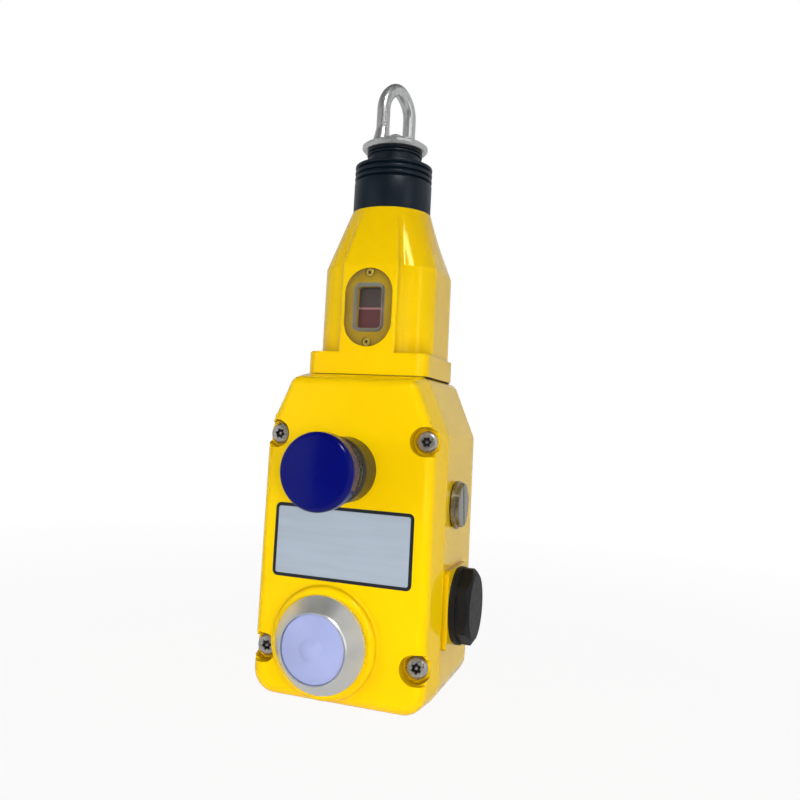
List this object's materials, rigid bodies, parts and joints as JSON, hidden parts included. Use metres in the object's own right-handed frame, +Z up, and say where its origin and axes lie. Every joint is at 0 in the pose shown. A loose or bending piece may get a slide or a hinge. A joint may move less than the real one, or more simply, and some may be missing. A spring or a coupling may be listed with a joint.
{
  "type": "rope pull safety switch",
  "caption": "Yellow rope-pull safety switch: cast box and tapered head, sprung rope eye under a bellows, tension window, blue reset mushroom, beacon and side cable entries.",
  "frame": {"origin": "centre of the four rear mounting holes, on the rear face", "axes": "+X to the right seen from the front, +Y out of the rear face, +Z up along the rope axis"},
  "size_m": [0.0786, 0.0859, 0.241],
  "materials": {
    "yellow_paint": "glossy chrome-yellow paint on die-cast aluminium",
    "seal_rubber": "matt black seal",
    "window_seal": "light grey seal",
    "boot_rubber": "blue-black moulded rubber",
    "gaiter_rubber": "dark grey moulded rubber",
    "plated_steel": "zinc-plated steel",
    "screw_steel": "stainless steel",
    "spring_steel": "spring steel",
    "clear_window": "clear polycarbonate",
    "flag_paint": "red flag with a dark upper half",
    "blue_plastic": "glossy dark blue",
    "grey_plastic": "satin dark grey",
    "black_plastic": "satin black",
    "satin_bezel": "satin turned metal",
    "frosted_lens": "frosted, pale lavender when unlit",
    "lamp_lens": "milky lamp lenses",
    "lamp_board": "green board",
    "label_foil": "blank silver foil with a dark border",
    "nickel_plate": "nickel-plated brass",
    "bronze": "sintered bronze and brass"
  },
  "bodies": {
    "housing": {"base_housing": "yellow_paint", "front_cover": "yellow_paint", "head_housing": "yellow_paint", "cover_gasket": "seal_rubber", "head_gasket": "seal_rubber", "reset_seal": "seal_rubber", "beacon_seal": "seal_rubber", "conduit_seal": "seal_rubber", "side_seal": "seal_rubber", "window_gasket": "window_seal", "rope_boot": "boot_rubber", "reset_gaiter": "gaiter_rubber", "switch_plate": "plated_steel", "cover_screws": "screw_steel", "head_screws": "screw_steel", "window_screws": "screw_steel", "plate_screws": "screw_steel", "block_screws": "screw_steel", "earth_screw": "screw_steel", "tension_spring": "spring_steel", "reset_spring": "spring_steel", "window_lens": "clear_window", "reset_collar": "grey_plastic", "reset_nut": "grey_plastic", "beacon_nut": "grey_plastic", "beacon_body": "grey_plastic", "conduit_plug": "black_plastic", "contact_block_left": "black_plastic", "contact_block_right": "black_plastic", "guide_bracket": "black_plastic", "beacon_bezel": "satin_bezel", "beacon_lens": "frosted_lens", "led_lamps": "lamp_lens", "led_board": "lamp_board", "rating_label": "label_foil", "side_plug": "nickel_plate", "guide_bush": "bronze", "contact_plungers": "bronze", "terminal_screws": "bronze"},
    "pull_shaft": {"pull_shaft": "plated_steel", "spring_seat": "plated_steel", "seat_nut": "plated_steel", "trip_cam": "plated_steel", "cam_nut": "plated_steel", "indicator_flag": "flag_paint"},
    "rope_eye": {"swivel_eye": "plated_steel"},
    "reset_button": {"reset_cap": "blue_plastic", "reset_stem": "plated_steel", "reset_yoke": "black_plastic", "reset_clip": "plated_steel"}
  },
  "joints": [
    {"name": "rope_pull", "type": "slide", "parent": "housing", "child": "pull_shaft", "axis": [0, 0, 1], "range_m": [0, 0.01], "stiffness_N_per_m": 6000, "springref_m": -0.008, "deforming": ["rope_boot", "tension_spring"]},
    {"name": "eye_swivel", "type": "hinge", "parent": "pull_shaft", "child": "rope_eye", "pos_m": [0, -0.02, 0.1554], "axis": [0, 0, 1], "continuous": true},
    {"name": "reset_press", "type": "slide", "parent": "housing", "child": "reset_button", "axis": [0, 1, 0], "range_m": [0, 0.005], "stiffness_N_per_m": 1500, "springref_m": -0.004, "deforming": ["reset_gaiter", "reset_spring"]}
  ]
}
